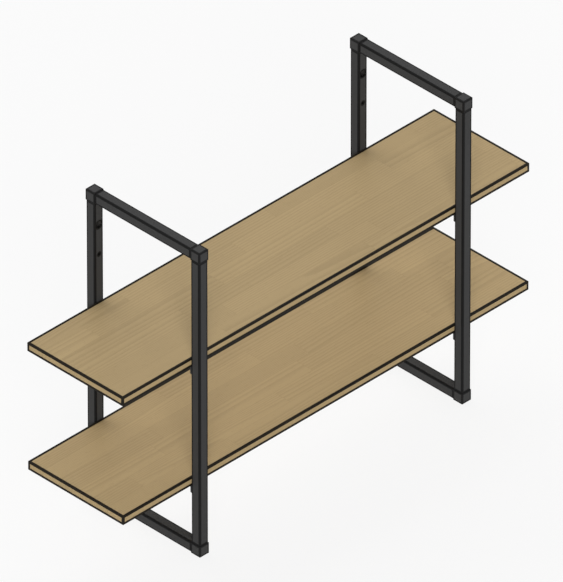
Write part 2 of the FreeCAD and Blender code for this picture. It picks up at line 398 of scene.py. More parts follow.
@cache
def stave_grain() -> NodeTree:
    """Makes the grain of staves that run along X, glued side by side and end to end.

    Returns:
        The group's tree.
    """
    inputs = {"Stave_Width": 47.5 * MM, "Stave_Length": 430 * MM, "Ring_Spacing": 3.6 * MM, "Wander": 5 * MM}
    tree = Group("stave_grain", Kind.SHADER, **inputs, Seed="Float")
    calc, given = tree.math, tree.given
    width, length = given.stave_width, given.stave_length
    x, y, z = tree.parts(tree.on_piece())

    def chances(key: Feed) -> tuple[NodeSocket, ...]:
        """Three chances from 0 to 1 that go with a number."""
        return tree.parts(tree.add("ShaderNodeTexWhiteNoise", W=key, noise_dimensions="1D").outputs["Color"])

    row_stride = 7.31  # keeps the numbers of one row's staves off the next row's
    stave_stride = 1.7  # keeps the noise of one stave off the next one's
    across = calc("DIVIDE", y, width)
    row = calc("ADD", calc("FLOOR", across), given.seed)
    along = calc("ADD", calc("DIVIDE", x, length), chances(row)[0])
    stave = calc("MULTIPLY_ADD", row, row_stride, calc("FLOOR", along))
    first, second, third = chances(stave)

    def texture(lengthwise: float, crosswise: float, detail: float = 2.0) -> NodeSocket:
        """Noise that is another in each stave.

        Args:
            lengthwise: How fine it is along the grain.
            crosswise: How fine it is across the grain.
            detail: How much finer noise lies over it.

        Returns:
            Its value.
        """
        apart = calc("MULTIPLY", stave, stave_stride)
        sideways = calc("MULTIPLY", y, crosswise), calc("MULTIPLY", z, crosswise)
        return tree.noise(tree.joined(calc("MULTIPLY_ADD", x, lengthwise, apart), *sideways), detail=detail)

    pith_range, pith_start = 4.0, -1.5  # where the pith lies beside the stave, in stave widths
    depth_range, least_depth = 50 * MM, 35 * MM  # how far it lies below the stave's middle
    taper_range, least_taper = 0.024, -0.012
    spacing_range, least_spacing = 1.1, 0.6
    pith = calc("ADD", calc("FLOOR", across), calc("MULTIPLY_ADD", first, pith_range, pith_start))
    beside = calc("MULTIPLY_ADD", pith, calc("MULTIPLY", width, -1.0), y)
    above = calc("MULTIPLY_ADD", second, depth_range, calc("ADD", z, least_depth))
    radius = calc("SQRT", calc("ADD", calc("POWER", beside, 2.0), calc("POWER", above, 2.0)))
    taper = calc("MULTIPLY", x, calc("MULTIPLY_ADD", third, taper_range, least_taper))
    swing = calc("SUBTRACT", texture(lengthwise=2.4, crosswise=14.0), 0.5)
    wander = calc("MULTIPLY", swing, given.wander)
    spacing = calc("MULTIPLY", calc("MULTIPLY_ADD", second, spacing_range, least_spacing), given.ring_spacing)
    year = calc("FRACT", calc("DIVIDE", calc("ADD", calc("ADD", radius, taper), wander), spacing))
    darkening, fading = (0.25, 0.9), (1.0, 0.92)  # the shares of a year over which its wood does so
    pore_noise, glue_reach = (0.64, 0.74), (0.1 * MM, 0.4 * MM)
    pores = texture(lengthwise=60.0, crosswise=1500.0, detail=1.0)
    beside_joint = calc("MULTIPLY", calc("PINGPONG", across, 0.5), width)
    before_joint = calc("MULTIPLY", calc("PINGPONG", along, 0.5), length)
    return tree.give(
        Rings=calc("MINIMUM", tree.ramp(year, *darkening), tree.ramp(year, *fading)),
        Fibres=texture(lengthwise=9.0, crosswise=560.0, detail=3.0),
        Pores=tree.ramp(pores, *pore_noise),
        Stave_Tone=third,
        Glue_Line=tree.ramp(calc("MINIMUM", beside_joint, before_joint), *glue_reach, 1.0, 0.0),
    )


# ---- finishes


def srgb(*levels: int) -> Colour:
    """A colour given as 0 to 255 on screen, in the linear values that shaders take."""
    shares = [level / 255 for level in levels]
    return (*(s / 12.92 if s <= 0.04045 else ((s + 0.055) / 1.055) ** 2.4 for s in shares), 1.0)


@dataclass(frozen=True)
class Finish:
    """A material of one Principled BSDF."""

    name: str

    def build(self) -> Material:
        """Makes the material and feeds its shader.

        Returns:
            The material.
        """
        material = bpy.data.materials.new(self.name)
        tree = Tree.emptied(material)
        shader = tree.out("ShaderNodeBsdfPrincipled", **self.looks(tree))
        tree.add("ShaderNodeOutputMaterial", Surface=shader)
        return material

    def looks(self, tree: Tree) -> dict[str, Feed]:
        """Makes the finish's nodes. Each finish has its own way.

        Args:
            tree: The material's tree.

        Returns:
            What goes into the shader's inputs, by their names.
        """
        raise NotImplementedError


@dataclass(frozen=True)
class Hole:
    """A hole drilled through a face, by its middle on the piece's own axes, and its radius."""

    centre: Triple
    radius: float


@dataclass(frozen=True)
class Skin(Finish):
    """Powder-coated steel or moulded plastic, darker along its edges and round its holes."""

    half_size: Triple  # half its length along each axis, or more where its ends have no line
    edge_width: float  # how far the dark line reaches in from an edge
    holes: tuple[Hole, ...] = ()
    skin_scale: float = 1100.0  # how fine its texture is
    skin_depth: float = 0.04 * MM  # how deep its texture is
    roughness: Pair = (0.62, 0.74)
    specular: float = 0.12
    colour: Colour = srgb(56, 56, 56)
    edge_colour: Colour = srgb(14, 14, 14)
    cloud: Pair = (0.3, 0.7)  # the tints between which the colour and the gloss vary
    shade: Pair = (0.94, 1.06)  # the least and the greatest share of the colour's light

    def looks(self, tree: Tree) -> dict[str, Feed]:
        """Mottles the colour and the gloss, and lays the darker line along edges and rims.

        Args:
            tree: The material's tree.

        Returns:
            What goes into the shader's inputs.
        """
        line = tree.place(arris_line(), Half_Size=self.half_size, Width=self.edge_width)["Mask"]
        for hole in self.holes:
            rim = tree.place(hole_rim(), Centre=hole.centre, Radius=hole.radius)["Mask"]
            line = tree.math("MAXIMUM", line, rim)
        mottle = tree.place(fine_mottle(), Skin_Scale=self.skin_scale)
        shade = tree.ramp(mottle["Tint"], *self.cloud, *self.shade)
        return {
            "Base Color": tree.scaled(tree.blend(line, self.colour, self.edge_colour), shade),
            "Roughness": tree.ramp(mottle["Tint"], *self.cloud, *self.roughness),
            "Specular IOR Level": self.specular,
            "Normal": tree.bump(mottle["Height"], self.skin_depth),
        }


@dataclass(frozen=True)
class Metal(Finish):
    """Bare or plated metal with a cloudy, faintly brushed look."""

    colour: Colour
    cloud_colour: Colour  # the colour of its dull patches
    roughness: Pair
    cloud_scale: float  # how small the patches are
    colour_cloud: Pair = (0.35, 0.65)  # the tints between which the colour varies
    gloss_cloud: Pair = (0.3, 0.7)  # the tints between which the gloss varies
    skin_scale: float = 2200.0
    skin_depth: float = 0.02 * MM

    def looks(self, tree: Tree) -> dict[str, Feed]:
        """Mixes the two colours by the clouds, which also dull the metal.

        Args:
            tree: The material's tree.

        Returns:
            What goes into the shader's inputs.
        """
        mottle = tree.place(fine_mottle(), Cloud_Scale=self.cloud_scale, Skin_Scale=self.skin_scale)
        share = tree.ramp(mottle["Tint"], *self.colour_cloud)
        return {
            "Base Color": tree.blend(share, self.colour, self.cloud_colour),
            "Roughness": tree.ramp(mottle["Tint"], *self.gloss_cloud, *self.roughness),
            "Metallic": 1.0,
            "Normal": tree.bump(mottle["Height"], self.skin_depth),
        }


@dataclass(frozen=True)
class OiledWood(Finish):
    """A board of glued staves under matt oil, which gathers darker along the edges."""

    half_size: Triple  # half the board's sides
    seed: float  # which staves this board has
    early: Colour = srgb(174, 152, 113)
    late: Colour = srgb(155, 134, 97)
    pore: Colour = srgb(118, 98, 66)
    pore_share: float = 0.35  # how much of the pores' colour shows in pores and glue lines
    stave_shade: Pair = (0.965, 1.035)  # the light of the darkest and of the palest stave
    edge_width: float = 6.2 * MM  # how far the dark edge reaches in, on average
    edge_shift: Triple = (0.9 * MM, 0.9 * MM, -0.9 * MM)  # more than that at an axis's end, less at its start
    edge_softness: float = 0.15  # the share of that reach over which it fades
    edge_shade: Pair = (0.006, 0.03)  # the share of its light that the dark edge keeps, late and early
    edge_turn: Pair = (0.7, 0.3)  # the shares of late wood at which it keeps them
    roughness: Pair = (0.62, 0.5)  # in early and in late wood
    roughness_turn: Pair = (0.2, 0.8)  # the shares of late wood at which it has them
    fibre_share: float = 0.5  # how much of late wood's look its fibres make, beside its rings
    relief: float = 0.6  # how high late wood stands, beside how deep a pore is
    specular: float = 0.1
    skin_depth: float = 0.05 * MM

    def looks(self, tree: Tree) -> dict[str, Feed]:
        """Lays rings, fibres, pores, stave tones and the dark edge over each other.

        Args:
            tree: The material's tree.

        Returns:
            What goes into the shader's inputs.
        """
        grain = tree.place(stave_grain(), Seed=self.seed)
        reach = {"Shift": self.edge_shift, "Width": self.edge_width, "Softness": self.edge_softness}
        line = tree.place(arris_line(), Half_Size=self.half_size, **reach)["Mask"]
        rings = tree.math("MULTIPLY", grain["Rings"], 1.0 - self.fibre_share)
        late = tree.math("MULTIPLY_ADD", grain["Fibres"], self.fibre_share, rings)
        pores = tree.math("MAXIMUM", grain["Pores"], grain["Glue Line"])
        dark = tree.math("MULTIPLY", pores, self.pore_share)
        wood = tree.blend(dark, tree.blend(late, self.early, self.late), self.pore)
        wood = tree.scaled(wood, tree.ramp(grain["Stave Tone"], 0.0, 1.0, *self.stave_shade))
        edge = tree.scaled(wood, tree.ramp(late, *self.edge_turn, *self.edge_shade))
        relief = tree.math("SUBTRACT", tree.math("MULTIPLY", late, self.relief), grain["Pores"])
        return {
            "Base Color": tree.blend(line, wood, edge),
            "Roughness": tree.ramp(late, *self.roughness_turn, *self.roughness),
            "Specular IOR Level": self.specular,
            "Normal": tree.bump(relief, self.skin_depth),
        }


# ---- mesh making


def put(name: str, data: ID) -> Object:
    """Puts a new object into the scene.

    Args:
        name: The object's name.
        data: What it holds.

    Returns:
        The object.
    """
    thing = bpy.data.objects.new(name, data)
    bpy.context.scene.collection.objects.link(thing)
    return thing


def mesh_of(name: str, shape: bmesh.types.BMesh) -> Mesh:
    """Ends the edit of a shape.

    Args:
        name: The name of the mesh that comes out.
        shape: The shape, which is freed.

    Returns:
        The mesh.
    """
    mesh = bpy.data.meshes.new(name)
    shape.to_mesh(mesh)
    shape.free()
    return mesh


def plain_mesh(name: str, host: Object) -> Mesh:
    """Works an object's modifiers in.

    Args:
        name: The name of the mesh that comes out.
        host: The object, which is removed.

    Returns:
        A plain mesh, with no empty place before its materials.
    """
    bpy.context.view_layer.update()
    depsgraph = bpy.context.evaluated_depsgraph_get()
    mesh = bpy.data.meshes.new_from_object(host.evaluated_get(depsgraph), depsgraph=depsgraph)
    mesh.name = name
    if mesh.materials and mesh.materials[0] is None:
        mesh.materials.pop(index=0)
    bpy.data.objects.remove(host)
    return mesh


def run_tree(name: str, tree: NodeTree, start: Mesh, **values: Feed) -> Mesh:
    """Runs a geometry node tree on a mesh.

    Args:
        name: The name of the mesh that comes out.
        tree: The node tree.
        start: The mesh that goes in.
        values: The tree's other inputs, by name.

    Returns:
        A plain mesh.
    """
    host = put(f"{name}_host", start)
    modifier = host.modifiers.new("shape", "NODES")
    modifier.node_group = tree
    sockets = {s.name: s.identifier for s in tree.interface.items_tree if s.in_out == "INPUT"}
    for key, value in values.items():
        modifier[sockets[spaced(key)]] = value
    return plain_mesh(name, host)


def drill_mesh(radius: float, start: Vector, stop: Vector) -> Mesh:
    """Makes a drill, which is a closed cylinder.

    Args:
        radius: Its radius.
        start: The middle of one end.
        stop: The middle of the other end.

    Returns:
        The drill.
    """
    way = stop - start
    place = Matrix.Translation((start + stop) / 2) @ way.to_track_quat("Z", "Y").to_matrix().to_4x4()
    sides = {"segments": DRILL_SIDES, "radius1": radius, "radius2": radius, "depth": way.length}
    shape = bmesh.new()
    bmesh.ops.create_cone(shape, cap_ends=True, matrix=place, **sides)
    return mesh_of("drill", shape)


def rounded_block(name: str, size: Vector, radius: float) -> Mesh:
    """Makes a block with rounded edges and corners.

    Args:
        name: The mesh's name.
        size: The block's sides.
        radius: The radius of its edges.

    Returns:
        The block, centred on the origin.
    """
    shape = bmesh.new()
    bmesh.ops.create_cube(shape, size=1.0)
    bmesh.ops.scale(shape, vec=size, verts=shape.verts)
    rounding = {"offset": radius, "segments": ROUND_STEPS, "profile": 0.5, "affect": "EDGES"}
    bmesh.ops.bevel(shape, geom=shape.edges[:], clamp_overlap=True, **rounding)
    return mesh_of(name, shape)


def seat_points(seats: Sequence[Seat]) -> Mesh:
    """Makes the points that a tree sets its shape at.

    Args:
        seats: Where the points are, and which way +Z is to aim there.

    Returns:
        A mesh of loose points with their turns.
    """
    mesh = bpy.data.meshes.new("seats")
    mesh.from_pydata([tuple(place) for place, _ in seats], [], [])
    eulers = [way.to_track_quat("Z", "Y").to_euler() for _, way in seats]
    turns = mesh.attributes.new(TURN, "FLOAT_VECTOR", "POINT")
    turns.data.foreach_set("vector", [angle for euler in eulers for angle in euler])
    return mesh


def smooth(mesh: Mesh) -> None:
    """Shades a mesh smooth, but not across its sharp edges."""
    mesh.shade_smooth()
    mesh.set_sharp_from_angle(angle=FLAT_LIMIT)


def finished(name: str, mesh: Mesh, drills: Sequence[Mesh] = (), rim: float = 0.0) -> Mesh:
    """Eases the sharp edges of a mesh, drills it and evens its shading.

    Args:
        name: The name of the mesh that comes out.
        mesh: The mesh.
        drills: Closed meshes to take out of it.
        rim: How far sharp edges are rounded, or 0 to leave them.

    Returns:
        A plain mesh with flat flats and smooth arcs.
    """
    host = put(f"{name}_host", mesh)
    cutters = [put("drill", drill) for drill in drills]
    if rim:
        modifier = host.modifiers.new("rim", "BEVEL")
        modifier.width, modifier.segments = rim, RIM_STEPS
        modifier.limit_method, modifier.angle_limit = "ANGLE", RIM_LIMIT
    for cutter in cutters:
        modifier = host.modifiers.new("hole", "BOOLEAN")
        modifier.operation, modifier.solver, modifier.object = "DIFFERENCE", "EXACT", cutter
    cut = plain_mesh(name, host)
    for cutter in cutters:
        bpy.data.objects.remove(cutter)
    smooth(cut)
    host = put(f"{name}_host", cut)
    modifier = host.modifiers.new("shading", "WEIGHTED_NORMAL")
    modifier.weight, modifier.keep_sharp = FLAT_WEIGHT, True
    return plain_mesh(name, host)


def middle_and_size(node: str) -> tuple[Vector, Vector]:
    """The middle and the size of a CAD node's box."""
    low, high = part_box(node)
    return (low + high) / 2, high - low


def add_piece(name: str, mesh: Mesh, place: Matrix) -> None:
    """Adds a piece of the unit, which stands for the CAD node of the same name.

    Each point's place on the piece is noted in the mesh before the piece is put where it belongs.

    Args:
        name: The CAD node's name.
        mesh: The finished mesh on the piece's own axes, with its materials.
        place: Where the piece's own axes belong.
    """
    note = mesh.attributes.new(LOCAL, "FLOAT_VECTOR", "POINT")
    note.data.foreach_set("vector", [axis for vertex in mesh.vertices for axis in vertex.co])
    mesh.transform(place)
    piece = put(f"{name}_dressed", mesh)
    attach(piece, ROOT)
    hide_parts(name)
    log.info("%s: %d faces", piece.name, len(mesh.polygons))


# ---- the side frames


@dataclass
class SquareTube:
    """Welded square tube with rounded corners, cut to length."""

    size: float = 25 * MM
    wall: float = 1.5 * MM
    outer_radius: float = 2.5 * MM
    inner_radius: float = 1.0 * MM
    arc_steps: int = 6

    def __post_init__(self) -> None:
        """Makes what every length of tube shares."""
        self.tree = self.section_tree()
        look = {"roughness": (0.5, 0.7), "cloud_scale": 30.0}
        self.bare = Metal("mill_scale", srgb(150, 147, 143), srgb(118, 114, 110), **look).build()
        self.coatings: dict[str, Material] = {}

    def coating(self, length: float, holes: tuple[Hole, ...]) -> Material:
        """Gives a length of tube its coating.

        Args:
            length: The length.
            holes: The holes that have a dark rim.

        Returns:
            The coating, one material for all lengths that are alike.
        """
        name = f"tube_powder_coat_{length / MM:.0f}_{len(holes)}"
        if name not in self.coatings:
            half_size = (self.size / 2, self.size / 2, length / 2)
            self.coatings[name] = Skin(name, half_size, edge_width=5.2 * MM, holes=holes).build()
        return self.coatings[name]

    def section_tree(self) -> NodeTree:
        """Makes the tree that draws the tube's section and runs it along +Z from the origin.

        Returns:
            The tree.
        """
        others = {"Length": "Float", "Coating": "Material", "Bore_Metal": "Material"}
        tree = Group("square_tube", Kind.GEOMETRY, **sizes(self), **others)
        given, slack = tree.given, 0.01 * MM  # the slack takes in the bore's own walls
        bore = tree.math("MULTIPLY_ADD", given.wall, -2.0, given.size)
        outside = tree.square(given.size, given.outer_radius, given.arc_steps)
        inside = tree.square(bore, given.inner_radius, given.arc_steps)
        ring = tree.shape("FillCurve", tree.as_one(outside, inside), mode="TRIANGLES")
        run = tree.shape("ExtrudeMesh", ring, Offset_Scale=given.length, Individual=False)
        whole = tree.shape("RealizeInstances", tree.welded(run, tree.shape("FlipFaces", ring)))
        whole = tree.shape("SetMaterial", whole, Material=given.coating)
        x, y, _ = tree.parts(tree.vector("ABSOLUTE", tree.shape("InputPosition")))
        reach = tree.math("MULTIPLY_ADD", bore, 0.5, slack)
        in_bore = tree.math("LESS_THAN", tree.math("MAXIMUM", x, y), reach)
        return tree.give(Tube=tree.shape("SetMaterial", whole, Selection=in_bore, Material=given.bore_metal))

    def cut_to(self, name: str, length: float, holes: tuple[Hole, ...] = ()) -> Mesh:
        """Cuts a length of tube.

        Args:
            name: The mesh's name.
            length: The length.
            holes: The holes that will be drilled and have a dark rim.

        Returns:
            The tube along Z, centred on the origin.
        """
        values = {"Length": length, "Coating": self.coating(length, holes), "Bore_Metal": self.bare}
        mesh = run_tree(name, self.tree, bpy.data.meshes.new("start"), **sizes(self), **values)
        mesh.transform(Matrix.Translation((0, 0, -length / 2)))
        return mesh


@dataclass(frozen=True)
class RibbedPlug:
    """A plug that draws in at its tip, cored out round a crossed web, with two crush ribs on each side."""

    core: float = 20 * MM
    cut: float = 2 * MM
    length: float = 34 * MM
    lead: float = 6 * MM
    lead_depth: float = 1.6 * MM
    wall: float = 3 * MM
    floor: float = 4 * MM
    web: float = 1.6 * MM
    rib_width: float = 1.6 * MM
    rib_height: float = 1.0 * MM
    rib_spacing: float = 9 * MM
    rib_lead: float = 3 * MM

    def tree(self) -> NodeTree:
        """Makes the tree that sets the plug at each point that it is given.

        Returns:
            The tree.
        """
        tree = Group("ribbed_plug", Kind.GEOMETRY, Seats="Geometry", **sizes(self), Plastic="Material")
        given, calc, core = tree.given, tree.math, tree.given.core
        straight = calc("SUBTRACT", given.length, given.lead)
        # a cut corner is an arc of one step, whose radius is the length that it takes off each side
        face = tree.shape("FillCurve", tree.square(core, given.cut, 1), mode="NGONS")
        foot = tree.shape("FlipFaces", face)
        tip = calc("MULTIPLY_ADD", given.lead_depth, -2.0, core)
        inside = calc("MULTIPLY_ADD", given.wall, -2.0, core)
        # up the straight sides, up the lead, in across the wall and down to the floor
        steps = (
            (straight, None),
            (given.lead, calc("DIVIDE", tip, core)),
            (0.0, calc("DIVIDE", inside, tip)),
            (calc("SUBTRACT", given.floor, given.length), None),
        )
        body, top = face, None
        for rise, share in steps:
            step = tree.add("GeometryNodeExtrudeMesh", body, top, (0.0, 0.0, 1.0), rise, Individual=False)
            body, top = step.outputs[0], step.outputs["Top"]
            if share is not None:
                body = tree.shape("ScaleElements", body, Selection=top, Scale=share)
        halfway = tree.joined(z=calc("MULTIPLY", straight, 0.5))
        webs = [tree.cube(x, y, straight, halfway) for x, y in ((given.web, inside), (inside, given.web))]
        run = calc("SUBTRACT", straight, given.rib_lead)
        beside = calc("MULTIPLY_ADD", core, 0.5, calc("MULTIPLY", given.rib_height, 0.5))
        centre = tree.joined(x=beside, z=calc("MULTIPLY", run, 0.5))
        rib = tree.cube(given.rib_height, given.rib_width, run, centre)
        start = tree.joined(y=calc("MULTIPLY", given.rib_spacing, -0.5))
        pair = tree.shape("MeshLine", Count=2, Start_Location=start, Offset=tree.joined(y=given.rib_spacing))
        one_side = tree.shape("InstanceOnPoints", pair, Instance=rib)
        four = tree.shape("MeshLine", Count=4, Offset=(0.0, 0.0, 0.0))
        quarter = tree.joined(z=calc("MULTIPLY", tree.shape("InputIndex"), math.pi / 2))
        turn = tree.out("FunctionNodeEulerToRotation", quarter)
        ribs = tree.shape("InstanceOnPoints", four, Instance=one_side, Rotation=turn)
        plug = tree.as_one(tree.welded(body, foot), *webs, ribs)
        return tree.give(Plugs=tree.set_at(given.seats, plug, given.plastic))


@dataclass
class CornerConnector:
    """A moulded cube with two ribbed plugs, one into the upright and one into the rail."""

    size: float = 27 * MM
    edge_radius: float = 1.0 * MM
    plug: RibbedPlug = RibbedPlug()

    def __post_init__(self) -> None:
        """Makes what every connector shares."""
        self.tree = self.plug.tree()
        look = {"skin_scale": 1500.0, "skin_depth": 0.03 * MM, "roughness": (0.54, 0.66)}
        self.plastic = Skin("moulded_plastic", (self.size / 2,) * 3, edge_width=4.6 * MM, **look).build()

    def build(self, name: str, ways: Sequence[Vector]) -> None:
        """Builds one connector at its CAD node's place.

        Args:
            name: The CAD node's name.
            ways: The way that each plug points, along an axis of its own.
        """
        half = self.size / 2
        seats = seat_points([(way * half, way) for way in ways])
        shape = bmesh.new()
        shape.from_mesh(rounded_block(f"{name}_cube", Vector((self.size,) * 3), self.edge_radius))
        shape.from_mesh(run_tree(f"{name}_plugs", self.tree, seats, **sizes(self.plug), Plastic=self.plastic))
        joined = mesh_of(name, shape)
        joined.materials.append(self.plastic)
        low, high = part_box(name)
        middle = (low + high) / 2
        for axis, way in enumerate(sum(ways, Vector())):
            if way:  # a plug takes up the rest of the box on this axis
                middle[axis] = low[axis] + half if way > 0 else high[axis] - half
        add_piece(name, finished(name, joined), Matrix.Translation(middle))


@dataclass
class SideFrame:
    """One side frame: two uprights, two rails and four corner connectors."""

    side: Side
    tube: SquareTube
    connector: CornerConnector
    screw_hole: float = 2.55 * MM
    wall_hole: float = 3.0 * MM
    access_hole: float = 8.0 * MM
    wall_hole_drop: float = 85 * MM
    wall_hole_pitch: float = 75 * MM

    def build(self, screw_heights: Sequence[float]) -> None:
        """Builds every piece of the frame.

        Args:
            screw_heights: The heights of the screws that hold the brackets to the uprights.
        """
        name = word(self.side)
        for row in Row:
            self.upright(f"{name}_{word(row)}_upright", row, screw_heights)
            for end in End:
                ways = Vector((0, 0, -end.value)), Vector((0, -row.value, 0))
                self.connector.build(f"{name}_{word(row)}_{word(end)}_corner", ways)
        lying = Matrix.Rotation(-math.pi / 2, 4, "X")
        for end in End:
            node = f"{name}_{word(end)}_rail"
            middle, size = middle_and_size(node)
            mesh = finished(node, self.tube.cut_to(node, size.y))
            add_piece(node, mesh, Matrix.Translation(middle) @ lying)

    def upright(self, node: str, row: Row, screw_heights: Sequence[float]) -> None:
        """Builds one upright, drilled for its brackets and, at the back, for the wall.

        Args:
            node: The CAD node's name.
            row: Where it stands.
            screw_heights: The heights of its brackets' screws.
        """
        middle, size = middle_and_size(node)
        inward, half = -row.value, self.tube.size / 2

        def drill(radius: float, height: float, stop: float) -> Mesh:
            """A drill that enters on the unit's inner side and stops before, at or past the tube's middle."""
            start = Vector((0, inward * self.tube.size, height))
            return drill_mesh(radius, start, Vector((0, inward * stop, height)))

        past_wall, past_tube = half - 2 * self.tube.wall, -2 * half
        drills = [drill(self.screw_hole, height - middle.z, past_wall) for height in screw_heights]
        holes: tuple[Hole, ...] = ()
        if row is Row.BACK:
            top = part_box(f"{word(self.side)}_back_top_corner")[1].z - middle.z
            high = top - self.wall_hole_drop
            low = high - self.wall_hole_pitch
            drills += [drill(self.wall_hole, height, past_tube) for height in (high, low)]
            drills.append(drill(self.access_hole, high, 0.0))
            openings = (high, self.access_hole), (low, self.wall_hole)
            holes = tuple(Hole((0.0, inward * half, height), radius) for height, radius in openings)
        mesh = finished(node, self.tube.cut_to(node, size.z, holes), drills)
        add_piece(node, mesh, Matrix.Translation(middle))


# ---- the shelves


@dataclass
class AngleBracket:
    """A bent steel strip: one leg hangs on the upright, the other lies under the board."""

    width: float = 25 * MM
    leg: float = 20 * MM
    thickness: float = 3 * MM
    bend_radius: float = 1 * MM
    corner: float = 5 * MM
    rim: float = 0.35 * MM
    hole_setback: float = 12 * MM
    upright_hole: float = 2.8 * MM
    board_hole: float = 2.3 * MM
    corner_steps: int = 4  # the first step has to be longer than the rim
    bend_steps: int = 6

    def __post_init__(self) -> None:
        """Makes what every bracket shares."""
        beyond = 1.0  # farther out than any of its points, so that only its long edges have a line
        half_size = (self.width / 2, beyond, beyond)
        self.coating = Skin("bracket_powder_coat", half_size, edge_width=1.2 * MM).build()

    def bend(self, node: str, row: Row) -> Vector:
        """The place of a bracket's own origin, which is the middle of its bend, on its outer faces."""
        low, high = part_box(node)
        return Vector(((low.x + high.x) / 2, low.y if row is Row.FRONT else high.y, high.z))

    def stations(self) -> list[tuple[Vector, Vector, float]]:
        """Follows the strip from one end to the other.

        Returns:
            At each step a point of its outer face, the inner one below it, and half the width there.
        """
        outer, half = self.bend_radius + self.thickness, self.width / 2
        corner = []
        for step in range(self.corner_steps + 1):
            run = self.corner * (1 - math.cos(math.pi / 2 * step / self.corner_steps))
            width = half - self.corner + math.sqrt(max(0.0, self.corner**2 - (self.corner - run) ** 2))
            corner.append((run - self.leg, width))
        found = [(Vector((0, 0, end)), Vector((0, self.thickness, end)), width) for end, width in corner]
        centre = Vector((0, outer, -outer))
        for step in range(self.bend_steps + 1):
            turn = math.pi / 2 * step / self.bend_steps
            ray = Vector((0, -math.cos(turn), math.sin(turn)))
            found.append((centre + ray * outer, centre + ray * self.bend_radius, half))
        for end, width in reversed(corner):
            found.append((Vector((0, -end, 0)), Vector((0, -end, -self.thickness)), width))
        return found

    def strip(self, name: str) -> Mesh:
        """Makes the bent strip with its rounded corners.

        Args:
            name: The mesh's name.

        Returns:
            The strip, its bend at the origin.
        """
        shape = bmesh.new()
        rings = []
        for outside, inside, half in self.stations():
            across = Vector((half, 0, 0))
            points = outside - across, outside + across, inside + across, inside - across
            rings.append([shape.verts.new(point) for point in points])
        for near, far in zip(rings, rings[1:]):
            for side in range(4):
                after = (side + 1) % 4
                shape.faces.new((near[side], near[after], far[after], far[side]))
        shape.faces.new(reversed(rings[0]))
        shape.faces.new(rings[-1])
        bmesh.ops.recalc_face_normals(shape, faces=shape.faces[:])
        return mesh_of(name, shape)

    def build(self, node: str, row: Row) -> None:
        """Builds one bracket at its CAD node's place, drilled for its two screws.

        Args:
            node: The CAD node's name.
            row: The upright that it hangs on.
        """
        setback, through = self.hole_setback, 2 * self.thickness
        drills = [
            drill_mesh(self.upright_hole, Vector((0, -through, -setback)), Vector((0, through, -setback))),
            drill_mesh(self.board_hole, Vector((0, setback, through)), Vector((0, setback, -through))),
        ]
        mesh = finished(node, self.strip(node), drills, self.rim)
        mesh.materials.append(self.coating)
        turn = Matrix.Rotation(0 if row is Row.FRONT else math.pi, 4, "Z")
        add_piece(node, mesh, Matrix.Translation(self.bend(node, row)) @ turn)


